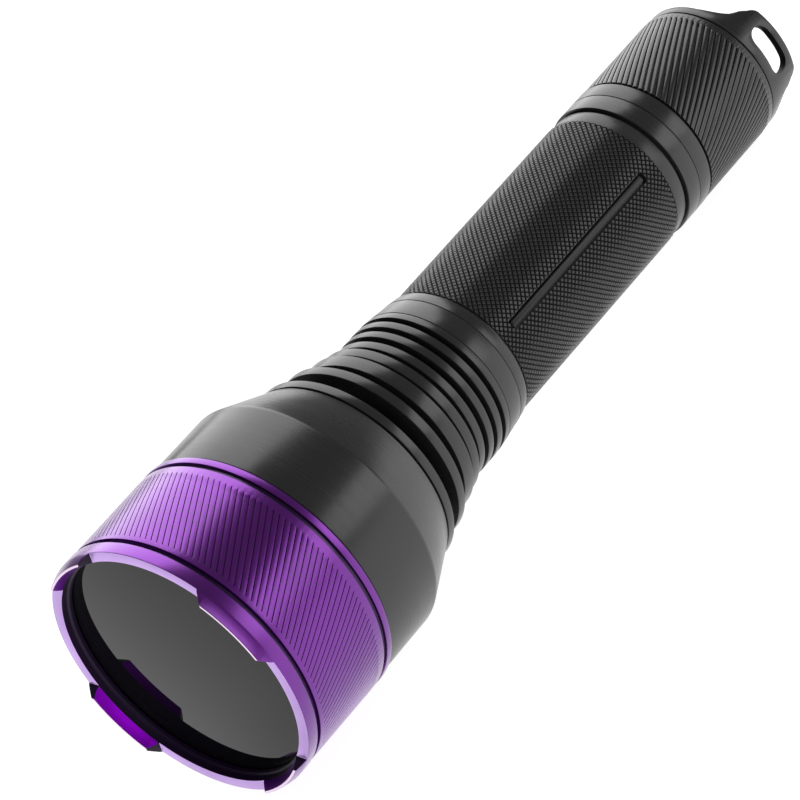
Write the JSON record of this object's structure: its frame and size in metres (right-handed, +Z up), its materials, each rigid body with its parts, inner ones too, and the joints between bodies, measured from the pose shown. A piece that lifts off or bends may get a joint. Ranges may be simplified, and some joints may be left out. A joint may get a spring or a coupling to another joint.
{
  "type": "uv curing lamp",
  "caption": "Hand-held ultraviolet curing torch with a filtered, toothed head, a finned heat sink, a knurled battery tube and a screw-on tail cap with a push switch.",
  "frame": {"origin": "centre of the whole lamp's box, on its optical axis", "axes": "+Y runs along the optical axis from the lens towards the tail, so the light leaves along -Y; +X points 11 degrees below one lanyard ear; +Z is up with the lamp lying on its side"},
  "size_m": [0.0468, 0.1572, 0.0468],
  "materials": {
    "purple_anodised": "satin",
    "black_anodised": "satin",
    "black_anodised_knurl": "satin",
    "filter_glass": "polished",
    "black_rubber": "matte",
    "mirror_aluminium": "polished",
    "white_plastic": "satin",
    "copper": "satin",
    "led_lens": "gloss",
    "circuit_board": "satin",
    "spring_steel": "satin",
    "red_wire": "satin",
    "black_wire": "satin",
    "cell_wrap": "satin",
    "switch_plastic": "matte"
  },
  "bodies": {
    "lamp_body": {"bezel_o_ring": "black_rubber", "head_bell": "black_anodised", "reflector": "mirror_aluminium", "centring_ring": "white_plastic", "led_emitter": "led_lens", "led_board": "copper", "board_screw_upper": "spring_steel", "board_screw_lower": "spring_steel", "positive_lead": "red_wire", "negative_lead": "black_wire", "heat_sink": "black_anodised", "head_o_ring": "black_rubber", "driver_board": "circuit_board", "driver_coil": "copper", "driver_ring": "mirror_aluminium", "front_contact_spring": "spring_steel", "neck_o_ring": "black_rubber", "body_tube": "black_anodised_knurl", "battery_cell": "cell_wrap", "tail_o_ring": "black_rubber"},
    "filter_stack": {"filter_glass": "filter_glass", "lens_gasket": "black_rubber"},
    "bezel": {"bezel_ring": "purple_anodised"},
    "switch_core": {"tail_spring": "spring_steel"},
    "cap": {"tail_cap": "black_anodised", "lanyard_ring": "black_anodised", "switch_ring": "mirror_aluminium", "switch_board": "circuit_board", "switch_housing": "switch_plastic"},
    "button": {"switch_plunger": "white_plastic", "switch_boot": "black_rubber"}
  },
  "joints": [
    {"name": "bezel_advance", "type": "slide", "parent": "lamp_body", "child": "filter_stack", "axis": [0, -1, 0], "range_m": [0, 0.00515]},
    {"name": "bezel_turn", "type": "hinge", "parent": "filter_stack", "child": "bezel", "pos_m": [0, -0.07, 0], "axis": [0, -1, 0], "range_deg": [0, 1845]},
    {"name": "cap_advance", "type": "slide", "parent": "lamp_body", "child": "switch_core", "axis": [0, 1, 0], "range_m": [0, 0.0063]},
    {"name": "cap_turn", "type": "hinge", "parent": "switch_core", "child": "cap", "pos_m": [0, 0.06, 0], "axis": [0, 1, 0], "range_deg": [0, 2250]},
    {"name": "button_press", "type": "slide", "parent": "cap", "child": "button", "axis": [0, -1, 0], "range_m": [0, 0.0012], "stiffness_N_per_m": 1200, "springref_m": -0.001}
  ],
  "couplings": [
    {"joint": "bezel_advance", "follows": "bezel_turn", "m_per_rad": 0.00015915},
    {"joint": "cap_advance", "follows": "cap_turn", "m_per_rad": 0.00015915}
  ]
}
